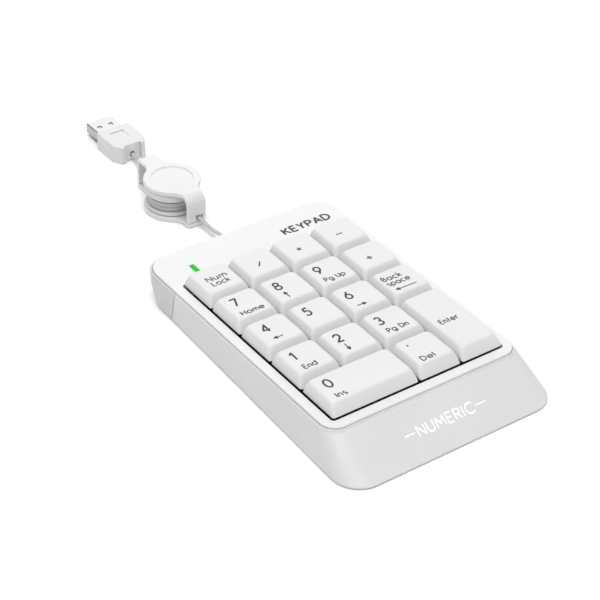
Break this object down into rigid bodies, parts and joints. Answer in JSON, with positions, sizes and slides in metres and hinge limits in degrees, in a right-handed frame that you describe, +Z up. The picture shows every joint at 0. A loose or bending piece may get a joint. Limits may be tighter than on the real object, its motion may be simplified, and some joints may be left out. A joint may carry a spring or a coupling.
{
  "type": "numeric keypad",
  "caption": "Low white numeric keypad with a sloping front palm face, a green status light, and a retractable cable reel ending in a USB plug",
  "frame": {"origin": "on the desk, under the middle of the keypad's housing; the cable, its gland, the reel and the plug are left out of that middle", "axes": "+X to the right as the user types, +Y towards the rear edge where the cable leaves, +Z up from the desk"},
  "size_m": [0.0934, 0.2526, 0.0187],
  "materials": {
    "white_plastic": "satin",
    "skirt_plastic": "satin",
    "inner_plastic": "matte",
    "silicone": "matte",
    "film": "satin",
    "circuit_board": "satin",
    "chip": "matte",
    "steel": "satin",
    "contact_metal": "polished",
    "lamp": "gloss",
    "foot_rubber": "matte",
    "cable_jacket": "satin"
  },
  "bodies": {
    "case": {"bottom_case": "skirt_plastic", "palm_skirt": "skirt_plastic", "top_cover": "white_plastic", "key_guide_frame": "inner_plastic", "membrane": "film", "controller_board": "circuit_board", "controller_chip": "chip", "cable_socket": "white_plastic", "status_led": "lamp", "led_lens": "lamp", "cable_gland": "white_plastic", "dome_sheet": "silicone", "case_screw_rear_left": "steel", "case_screw_rear_right": "steel", "case_screw_front_left": "steel", "case_screw_front_right": "steel", "guide_screw_1": "steel", "guide_screw_2": "steel", "guide_screw_3": "steel", "guide_screw_4": "steel", "foot_front_left": "foot_rubber", "foot_front_right": "foot_rubber", "foot_rear_left": "foot_rubber", "foot_rear_right": "foot_rubber", "cord_lead": "cable_jacket", "reel_bottom_cover": "white_plastic", "reel_top_cover": "white_plastic", "cord_tail": "cable_jacket", "usb_grip": "white_plastic", "usb_shell": "steel", "usb_tongue": "inner_plastic", "usb_contacts": "contact_metal"},
    "spool": {"reel_spool": "white_plastic", "cord_wound_lead": "cable_jacket", "cord_wound_tail": "cable_jacket", "reel_spring": "steel"},
    "key_0_cap": {"key_0": "white_plastic"},
    "key_dot_cap": {"key_dot": "white_plastic"},
    "key_enter_cap": {"key_enter": "white_plastic"},
    "key_1_cap": {"key_1": "white_plastic"},
    "key_2_cap": {"key_2": "white_plastic"},
    "key_3_cap": {"key_3": "white_plastic"},
    "key_4_cap": {"key_4": "white_plastic"},
    "key_5_cap": {"key_5": "white_plastic"},
    "key_6_cap": {"key_6": "white_plastic"},
    "key_backspace_cap": {"key_backspace": "white_plastic"},
    "key_7_cap": {"key_7": "white_plastic"},
    "key_8_cap": {"key_8": "white_plastic"},
    "key_9_cap": {"key_9": "white_plastic"},
    "key_plus_cap": {"key_plus": "white_plastic"},
    "key_num_lock_cap": {"key_num_lock": "white_plastic"},
    "key_slash_cap": {"key_slash": "white_plastic"},
    "key_star_cap": {"key_star": "white_plastic"},
    "key_minus_cap": {"key_minus": "white_plastic"},
    "wire_0": {"stabilizer_0": "steel"},
    "wire_enter": {"stabilizer_enter": "steel"}
  },
  "joints": [
    {"name": "key_0_press", "type": "slide", "parent": "case", "child": "key_0_cap", "axis": [0, 0, -1], "range_m": [0, 0.003], "stiffness_N_per_m": 200, "deforming": ["dome_sheet"]},
    {"name": "key_dot_press", "type": "slide", "parent": "case", "child": "key_dot_cap", "axis": [0, 0, -1], "range_m": [0, 0.003], "stiffness_N_per_m": 200},
    {"name": "key_enter_press", "type": "slide", "parent": "case", "child": "key_enter_cap", "axis": [0, 0, -1], "range_m": [0, 0.003], "stiffness_N_per_m": 200},
    {"name": "key_1_press", "type": "slide", "parent": "case", "child": "key_1_cap", "axis": [0, 0, -1], "range_m": [0, 0.003], "stiffness_N_per_m": 200},
    {"name": "key_2_press", "type": "slide", "parent": "case", "child": "key_2_cap", "axis": [0, 0, -1], "range_m": [0, 0.003], "stiffness_N_per_m": 200},
    {"name": "key_3_press", "type": "slide", "parent": "case", "child": "key_3_cap", "axis": [0, 0, -1], "range_m": [0, 0.003], "stiffness_N_per_m": 200},
    {"name": "key_4_press", "type": "slide", "parent": "case", "child": "key_4_cap", "axis": [0, 0, -1], "range_m": [0, 0.003], "stiffness_N_per_m": 200},
    {"name": "key_5_press", "type": "slide", "parent": "case", "child": "key_5_cap", "axis": [0, 0, -1], "range_m": [0, 0.003], "stiffness_N_per_m": 200},
    {"name": "key_6_press", "type": "slide", "parent": "case", "child": "key_6_cap", "axis": [0, 0, -1], "range_m": [0, 0.003], "stiffness_N_per_m": 200},
    {"name": "key_backspace_press", "type": "slide", "parent": "case", "child": "key_backspace_cap", "axis": [0, 0, -1], "range_m": [0, 0.003], "stiffness_N_per_m": 200},
    {"name": "key_7_press", "type": "slide", "parent": "case", "child": "key_7_cap", "axis": [0, 0, -1], "range_m": [0, 0.003], "stiffness_N_per_m": 200},
    {"name": "key_8_press", "type": "slide", "parent": "case", "child": "key_8_cap", "axis": [0, 0, -1], "range_m": [0, 0.003], "stiffness_N_per_m": 200},
    {"name": "key_9_press", "type": "slide", "parent": "case", "child": "key_9_cap", "axis": [0, 0, -1], "range_m": [0, 0.003], "stiffness_N_per_m": 200},
    {"name": "key_plus_press", "type": "slide", "parent": "case", "child": "key_plus_cap", "axis": [0, 0, -1], "range_m": [0, 0.003], "stiffness_N_per_m": 200},
    {"name": "key_num_lock_press", "type": "slide", "parent": "case", "child": "key_num_lock_cap", "axis": [0, 0, -1], "range_m": [0, 0.003], "stiffness_N_per_m": 200},
    {"name": "key_slash_press", "type": "slide", "parent": "case", "child": "key_slash_cap", "axis": [0, 0, -1], "range_m": [0, 0.003], "stiffness_N_per_m": 200},
    {"name": "key_star_press", "type": "slide", "parent": "case", "child": "key_star_cap", "axis": [0, 0, -1], "range_m": [0, 0.003], "stiffness_N_per_m": 200},
    {"name": "key_minus_press", "type": "slide", "parent": "case", "child": "key_minus_cap", "axis": [0, 0, -1], "range_m": [0, 0.003], "stiffness_N_per_m": 200},
    {"name": "wire_0_swing", "type": "hinge", "parent": "case", "child": "wire_0", "pos_m": [-0.019, -0.0431, 0.0101], "axis": [-1, 0, 0], "range_deg": [0, 25]},
    {"name": "wire_enter_swing", "type": "hinge", "parent": "case", "child": "wire_enter", "pos_m": [0.0347, -0.0274, 0.0101], "axis": [0, -1, 0], "range_deg": [0, 25]},
    {"name": "reel_turn", "type": "hinge", "parent": "case", "child": "spool", "pos_m": [-0.001, 0.1148, 0.0048], "axis": [0, 0, 1], "range_deg": [0, 1800]}
  ],
  "couplings": [
    {"joint": "wire_0_swing", "follows": "key_0_press", "rad_per_m": 143.97},
    {"joint": "wire_enter_swing", "follows": "key_enter_press", "rad_per_m": 143.97}
  ]
}
